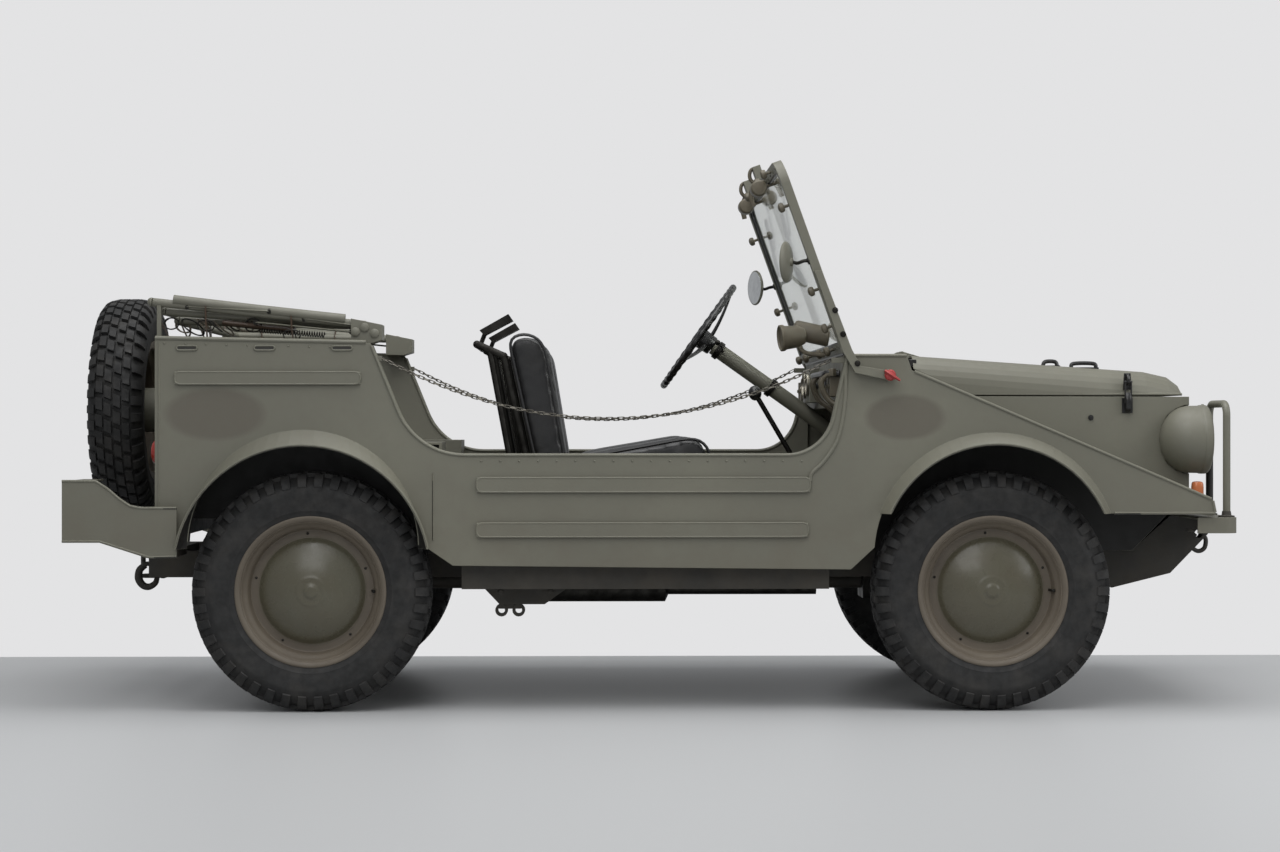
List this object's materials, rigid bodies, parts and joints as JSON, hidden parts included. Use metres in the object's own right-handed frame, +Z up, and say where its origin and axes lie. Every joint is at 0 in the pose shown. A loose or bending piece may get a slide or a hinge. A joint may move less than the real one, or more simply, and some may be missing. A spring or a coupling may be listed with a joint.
{
  "type": "open cross-country army car",
  "caption": "Open four-seat off-road car on a ladder frame, with folding windscreen, opening bonnet, steered front wheels and a spare wheel at the back.",
  "frame": {"origin": "on the ground, at the middle of the length and the width", "axes": "+X forward, +Y to the car's left, +Z up"},
  "size_m": [3.445, 1.5196, 1.6658],
  "materials": {
    "body_paint": "matt olive drab enamel, faded and lightly worn",
    "chassis_paint": "dark brushed-on chassis paint with road film",
    "wheel_paint": "olive enamel with brown dirt in the dish",
    "tyre_rubber": "cross-country rubber, dusty on the shoulders",
    "seat_leathercloth": "black leathercloth with piped seams",
    "steel": "worn black steel",
    "chain_steel": "dull galvanised chain",
    "bakelite": "black moulded rim",
    "glass": "flat screen glass",
    "lens": "amber and red lamp lenses"
  },
  "bodies": {
    "chassis": {"frame_rails": "chassis_paint", "skid_plate": "chassis_paint", "engine_block": "steel", "front_suspension": "chassis_paint", "rear_suspension": "chassis_paint", "drive_shafts": "chassis_paint", "exhaust": "steel", "floor_tub": "body_paint", "side_panel_right": "body_paint", "side_panel_left": "body_paint", "tail_panel": "body_paint", "cowl": "body_paint", "dashboard": "body_paint", "nose_panel": "body_paint", "headlamps": "body_paint", "signal_lamps": "lens", "front_bumper": "body_paint", "lamp_guards": "body_paint", "rear_bumpers": "body_paint", "tow_hitch": "steel", "spare_carrier": "body_paint", "spare_wheel": "wheel_paint", "spare_tyre": "tyre_rubber", "top_bows": "body_paint", "steering_column": "body_paint", "pedals": "steel", "levers": "steel", "front_seat_frames": "steel", "front_seat_cushions": "seat_leathercloth", "front_seat_backs": "seat_leathercloth", "rear_seat_base": "body_paint", "rear_seat_cushion": "seat_leathercloth", "rear_seat_back": "seat_leathercloth", "chain_right": "chain_steel", "chain_left": "chain_steel"},
    "bonnet": {"bonnet": "body_paint"},
    "windscreen": {"windscreen_frame": "body_paint", "windscreen_glass": "glass", "mirrors": "body_paint"},
    "steering_wheel": {"steering_wheel": "bakelite"},
    "track_rod": {"track_rod": "chassis_paint"},
    "knuckle_right": {"knuckle_right": "chassis_paint"},
    "knuckle_left": {"knuckle_left": "chassis_paint"},
    "front_right_wheel": {"wheel_front_right": "wheel_paint", "tyre_front_right": "tyre_rubber"},
    "front_left_wheel": {"wheel_front_left": "wheel_paint", "tyre_front_left": "tyre_rubber"},
    "rear_right_wheel": {"wheel_rear_right": "wheel_paint", "tyre_rear_right": "tyre_rubber"},
    "rear_left_wheel": {"wheel_rear_left": "wheel_paint", "tyre_rear_left": "tyre_rubber"}
  },
  "joints": [
    {"name": "steer_left", "type": "hinge", "parent": "chassis", "child": "knuckle_left", "pos_m": [1, 0.485, 0.352], "axis": [0, 0, 1], "range_deg": [-28, 28]},
    {"name": "steer_right", "type": "hinge", "parent": "chassis", "child": "knuckle_right", "pos_m": [1, -0.485, 0.352], "axis": [0, 0, 1], "range_deg": [-28, 28]},
    {"name": "track_rod_slide", "type": "slide", "parent": "chassis", "child": "track_rod", "axis": [0, 1, 0], "range_m": [-0.0585, 0.0585]},
    {"name": "steering_turn", "type": "hinge", "parent": "chassis", "child": "steering_wheel", "pos_m": [0.177, 0.35, 1.135], "axis": [-0.8151, 0, 0.5793], "range_deg": [-450, 450]},
    {"name": "front_right_wheel_spin", "type": "hinge", "parent": "knuckle_right", "child": "front_right_wheel", "pos_m": [1, -0.603, 0.352], "axis": [0, 1, 0], "continuous": true},
    {"name": "front_left_wheel_spin", "type": "hinge", "parent": "knuckle_left", "child": "front_left_wheel", "pos_m": [1, 0.603, 0.352], "axis": [0, 1, 0], "continuous": true},
    {"name": "rear_right_wheel_spin", "type": "hinge", "parent": "chassis", "child": "rear_right_wheel", "pos_m": [-1, -0.603, 0.352], "axis": [0, 1, 0], "continuous": true},
    {"name": "rear_left_wheel_spin", "type": "hinge", "parent": "chassis", "child": "rear_left_wheel", "pos_m": [-1, 0.603, 0.352], "axis": [0, 1, 0], "continuous": true},
    {"name": "bonnet_hinge", "type": "hinge", "parent": "chassis", "child": "bonnet", "pos_m": [0.769, 0, 1.056], "axis": [0, -1, 0], "range_deg": [0, 55]},
    {"name": "windscreen_fold", "type": "hinge", "parent": "chassis", "child": "windscreen", "pos_m": [0.69, 0, 0.985], "axis": [0, -1, 0], "range_deg": [-110, 0]}
  ],
  "couplings": [
    {"joint": "steer_right", "follows": "steer_left", "ratio": 1},
    {"joint": "track_rod_slide", "follows": "steer_left", "m_per_rad": -0.1175},
    {"joint": "steering_turn", "follows": "steer_left", "ratio": 16}
  ]
}
